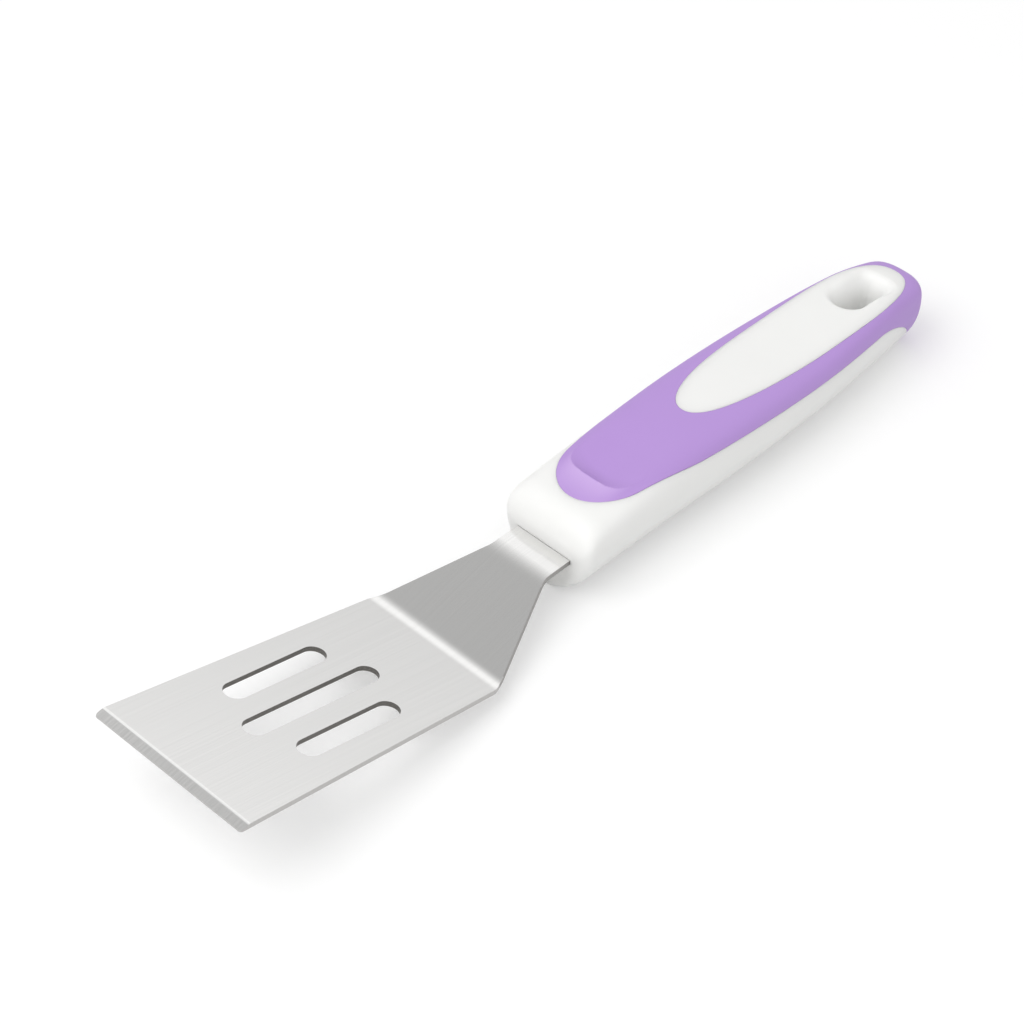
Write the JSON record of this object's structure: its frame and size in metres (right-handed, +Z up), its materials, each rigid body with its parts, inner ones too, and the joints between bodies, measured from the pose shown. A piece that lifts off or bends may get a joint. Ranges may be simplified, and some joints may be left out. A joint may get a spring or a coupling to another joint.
{
  "type": "spatula",
  "caption": "Small slotted turner with a bent stainless blade and a two-colour moulded handle with a soft grip, a thumb dish and a hang hole.",
  "frame": {"origin": "centre of the part's outline from above, on the surface that it lies on", "axes": "+X from the handle to the blade tip, +Z up, with the part lying on the handle's underside and the blade clear of the table"},
  "size_m": [0.23, 0.0438, 0.0229],
  "materials": {
    "blade_steel": "fine brushed",
    "core_plastic": "as moulded",
    "white_plastic": "satin",
    "lilac_rubber": "soft satin"
  },
  "bodies": {
    "root": {"blade": "blade_steel", "tang_core": "core_plastic", "handle_body": "white_plastic", "grip": "lilac_rubber"}
  },
  "joints": []
}
